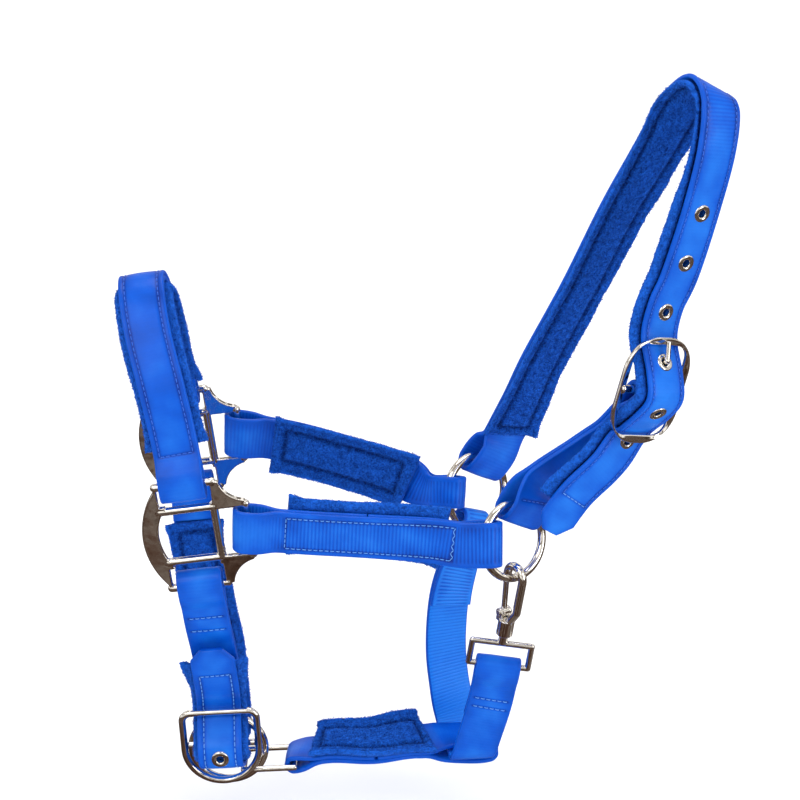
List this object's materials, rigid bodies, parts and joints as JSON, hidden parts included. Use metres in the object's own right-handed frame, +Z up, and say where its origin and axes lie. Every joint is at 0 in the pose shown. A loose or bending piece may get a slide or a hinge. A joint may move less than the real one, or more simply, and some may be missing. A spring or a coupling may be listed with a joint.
{
  "type": "padded head halter",
  "caption": "Padded horse head halter of webbing straps with fleece linings, cast cheek squares, round rings, an oval crown buckle and a swivel snap at the throat.",
  "frame": {"origin": "centre of the halter's bounding box as worn", "axes": "+X from the nose to the poll, +Y to the off (far) side, +Z up"},
  "size_m": [0.338, 0.1412, 0.4182],
  "materials": {
    "webbing": "royal blue coated webbing, finely ribbed across, glossy",
    "fleece": "royal blue fleece with a short dense nap",
    "nickel": "polished nickel plate"
  },
  "bodies": {
    "halter": {"near_cheek_square": "nickel", "far_cheek_square": "nickel", "near_cheek_strap": "webbing", "near_cheek_fleece": "fleece", "far_cheek_strap": "webbing", "far_cheek_fleece": "fleece", "throat_strap": "webbing", "throat_near_leg": "webbing", "snap_swivel_eye": "nickel", "chin_strap": "webbing", "chin_fleece": "fleece", "chin_eyelet": "nickel", "chin_billet": "webbing", "jaw_strap": "webbing", "jaw_fleece": "fleece"},
    "crown": {"crown_strap": "webbing", "crown_fleece": "fleece", "crown_eyelets": "nickel", "crown_billet": "webbing", "crown_buckle_frame": "nickel"},
    "crown_tongue": {"crown_buckle_tongue": "nickel"},
    "noseband": {"noseband_strap": "webbing", "noseband_fleece": "fleece"},
    "near_ring": {"near_ring": "nickel"},
    "far_ring": {"far_ring": "nickel"},
    "lead_ring": {"lead_ring": "nickel"},
    "snap": {"snap_hook_body": "nickel", "snap_gate_pin": "nickel"},
    "snap_gate": {"snap_gate": "nickel"},
    "chin_frame": {"chin_buckle_frame": "nickel"},
    "jaw_link": {"jaw_link": "nickel"}
  },
  "joints": [
    {"name": "crown_swing", "type": "hinge", "parent": "halter", "child": "crown", "pos_m": [0.05609, -0.0387, -0.02777], "axis": [-0.2184, 0.968, -0.1239], "range_deg": [-5, 5]},
    {"name": "noseband_swing", "type": "hinge", "parent": "halter", "child": "noseband", "pos_m": [-0.1298, -0.057, -0.0063], "axis": [-0.0872, 0.9962, 0], "range_deg": [-4, 4]},
    {"name": "near_ring_spin", "type": "hinge", "parent": "halter", "child": "near_ring", "pos_m": [0.0504, -0.049, -0.0448], "axis": [0.6109, -0.7511, 0.2504], "continuous": true},
    {"name": "far_ring_spin", "type": "hinge", "parent": "halter", "child": "far_ring", "pos_m": [0.0319, 0.033, -0.0553], "axis": [0.6109, -0.7511, 0.2504], "continuous": true},
    {"name": "lead_ring_spin", "type": "hinge", "parent": "halter", "child": "lead_ring", "pos_m": [-0.1096, -0.033, -0.1861], "axis": [0, -1, 0], "continuous": true},
    {"name": "snap_swivel", "type": "hinge", "parent": "halter", "child": "snap", "pos_m": [0.05168, -0.05459, -0.06469], "axis": [0.1425, -0.1023, 0.9845], "range_deg": [-20, 20]},
    {"name": "gate_press", "type": "hinge", "parent": "snap", "child": "snap_gate", "pos_m": [0.04602, -0.04917, -0.0887], "axis": [0.8004, 0.5971, -0.0538], "range_deg": [0, 20], "stiffness_Nm_per_rad": 0.02},
    {"name": "chin_frame_tilt", "type": "hinge", "parent": "halter", "child": "chin_frame", "pos_m": [-0.1124, -0.0494, -0.1738], "axis": [0.9982, 0, 0.0599], "range_deg": [0, 4]},
    {"name": "link_tilt", "type": "hinge", "parent": "halter", "child": "jaw_link", "pos_m": [-0.0716, -0.029, -0.1948], "axis": [0, 0.9903, -0.1392], "range_deg": [-4, 3]},
    {"name": "tongue_play", "type": "hinge", "parent": "crown", "child": "crown_tongue", "pos_m": [0.1232, -0.043, 0.0436], "axis": [0.7992, 0.5297, -0.2841], "range_deg": [0, 2.5]}
  ]
}
